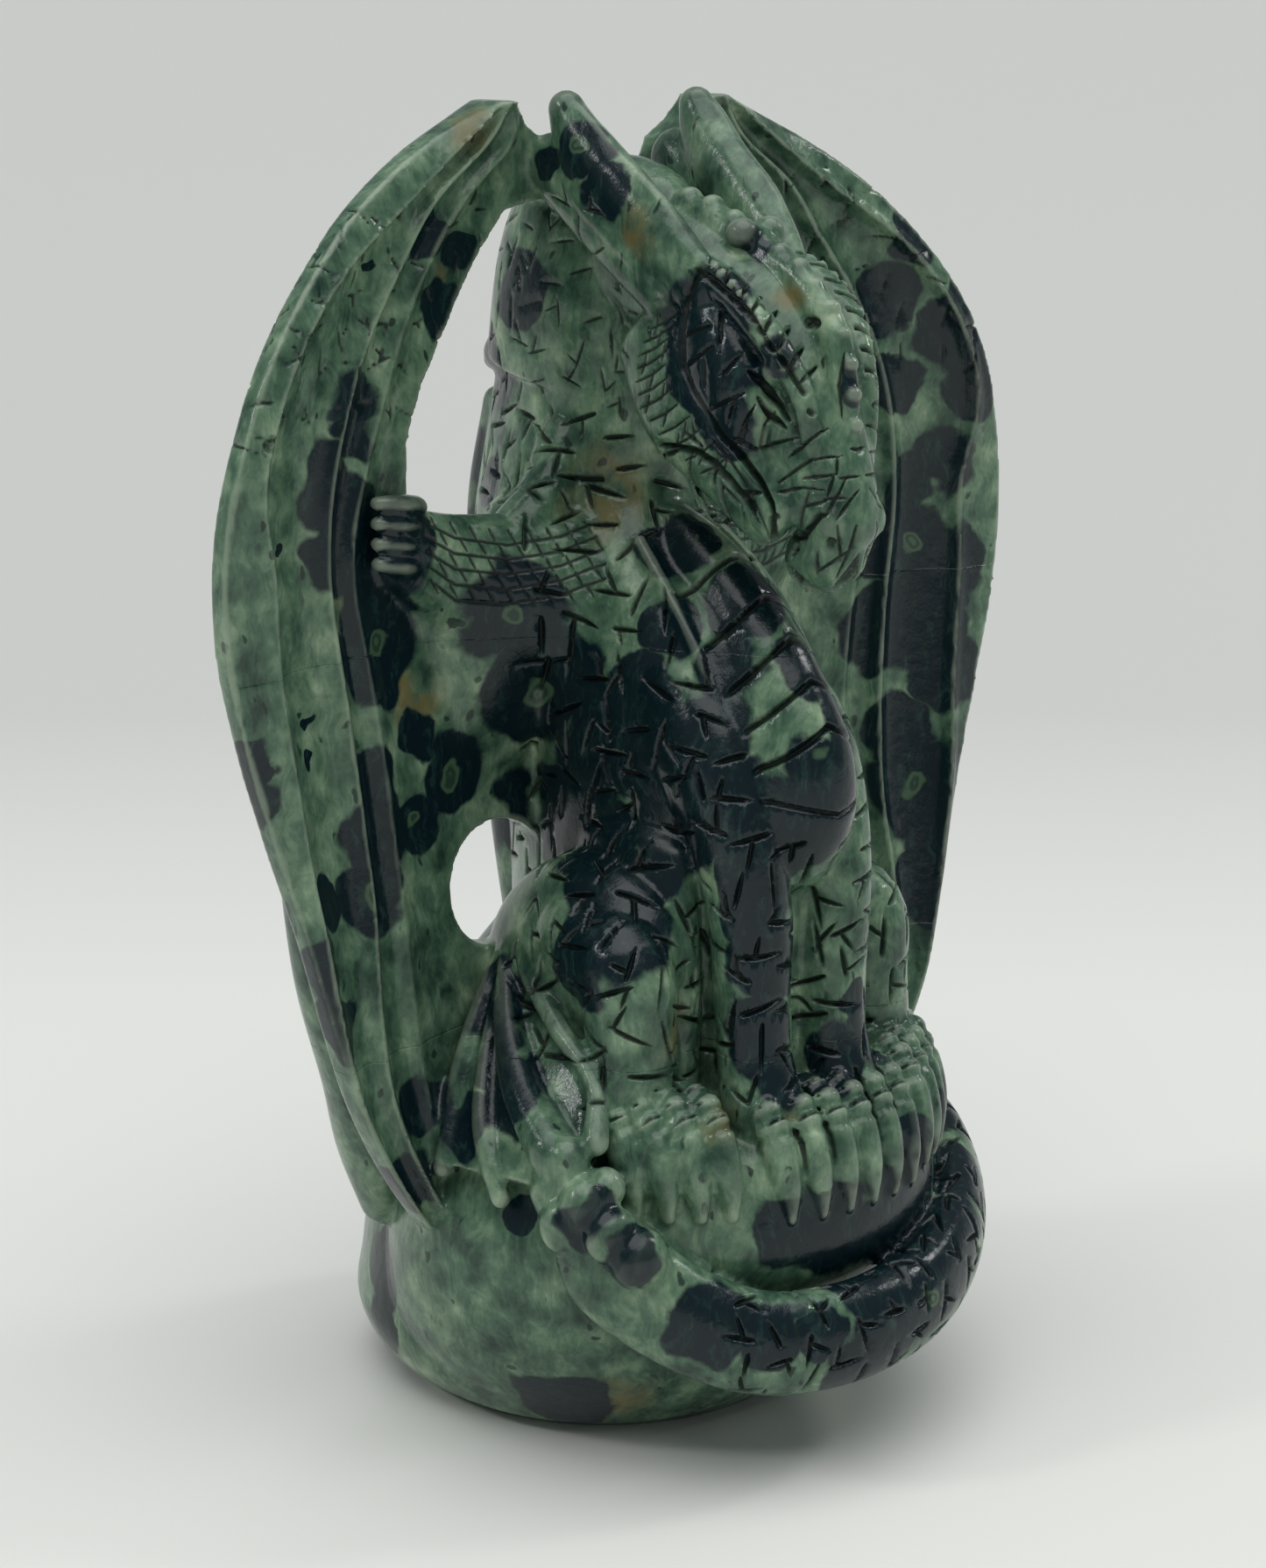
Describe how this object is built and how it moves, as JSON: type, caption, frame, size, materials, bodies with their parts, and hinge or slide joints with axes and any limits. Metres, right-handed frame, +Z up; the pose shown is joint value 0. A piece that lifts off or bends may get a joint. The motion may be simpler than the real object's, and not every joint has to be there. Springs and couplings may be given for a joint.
{
  "type": "winged dragon carving",
  "caption": "Seated winged dragon statue carved from a single block of polished orbicular green jasper, wings raised and joined to the horns, tail wrapped round a flat-bottomed base.",
  "frame": {"origin": "centre of the flat underside that the carving stands on", "axes": "+Z up, -Y the way the dragon faces, +X towards the dragon's left wing"},
  "size_m": [0.1199, 0.0829, 0.1579],
  "materials": {
    "jasper": "polished"
  },
  "bodies": {
    "root": {"dragon_carving": "jasper"}
  },
  "joints": []
}
